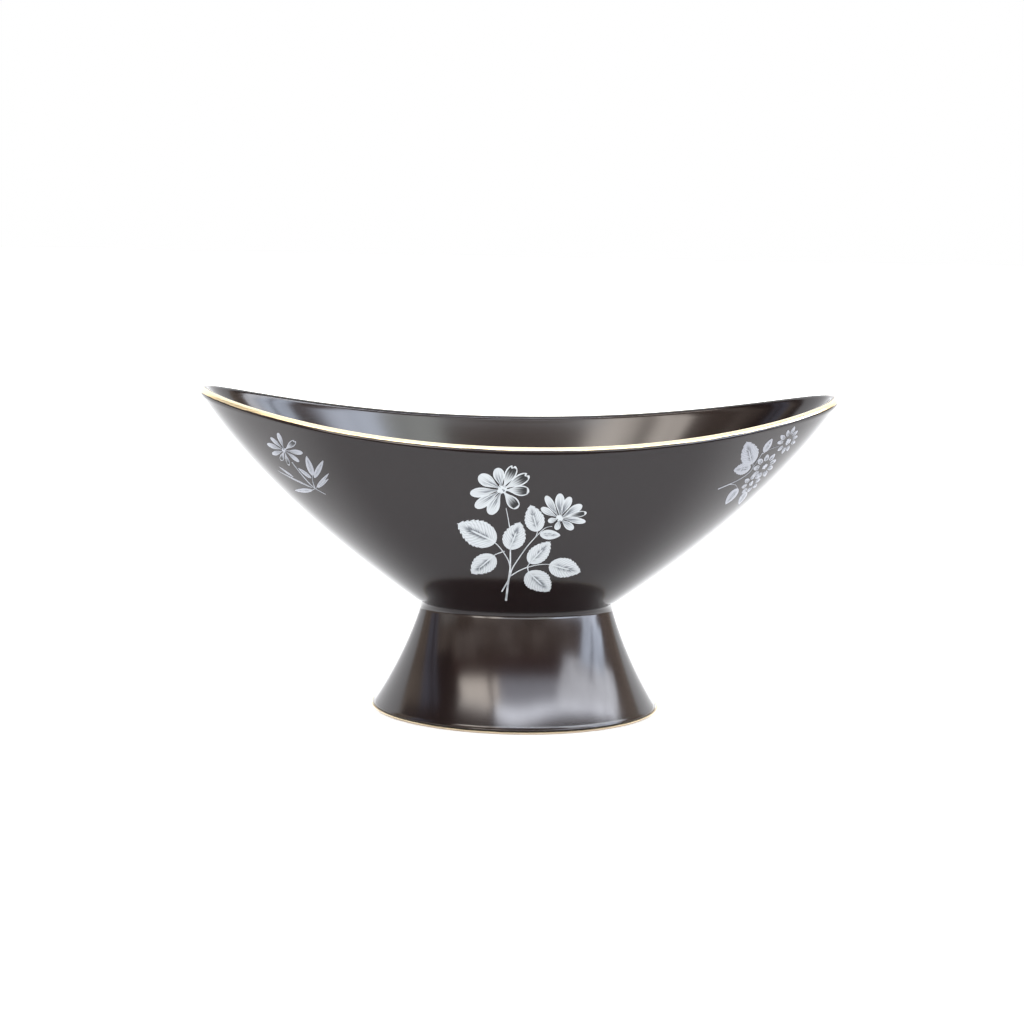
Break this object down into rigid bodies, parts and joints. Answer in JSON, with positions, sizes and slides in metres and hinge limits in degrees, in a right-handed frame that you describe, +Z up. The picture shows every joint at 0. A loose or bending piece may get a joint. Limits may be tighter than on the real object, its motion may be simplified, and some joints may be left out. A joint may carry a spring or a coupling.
{
  "type": "footed oval bowl",
  "caption": "Boat-shaped oval bowl on a flared hollow foot, black glazed ceramic with gilt lines and raised white flower sprays.",
  "frame": {"origin": "centre of the foot's outline, on the surface that the bowl stands on", "axes": "+X along the long rim towards one raised tip, +Y away from the front sprays, +Z up out of the bowl's mouth"},
  "size_m": [0.2796, 0.1194, 0.1404],
  "materials": {
    "black_glaze": "mirror-bright black glaze",
    "bare_clay": "unglazed, fine sanded",
    "pale_gilding": "thin fired gilt, slightly worn",
    "white_enamel": "raised matt white enamel with grey shading"
  },
  "bodies": {
    "root": {"back_left_spray_bloom": "white_enamel", "back_left_spray_stem_and_leaves": "white_enamel", "back_right_spray_lower_bloom": "white_enamel", "back_right_spray_middle_bloom": "white_enamel", "back_right_spray_stem_and_leaves": "white_enamel", "back_right_spray_upper_bloom": "white_enamel", "back_spray_large_bloom": "white_enamel", "back_spray_small_bloom": "white_enamel", "back_spray_stem_and_leaves": "white_enamel", "bowl_body": "black_glaze", "foot_gilt_line": "pale_gilding", "front_spray_large_bloom": "white_enamel", "front_spray_small_bloom": "white_enamel", "front_spray_stem_and_leaves": "white_enamel", "left_spray_bloom": "white_enamel", "left_spray_stem_and_leaves": "white_enamel", "pedestal_foot": "black_glaze", "right_spray_lower_bloom": "white_enamel", "right_spray_middle_bloom": "white_enamel", "right_spray_stem_and_leaves": "white_enamel", "right_spray_upper_bloom": "white_enamel", "rim_gilt_line": "pale_gilding", "standing_ring": "bare_clay", "waist_luting": "black_glaze"}
  },
  "joints": []
}
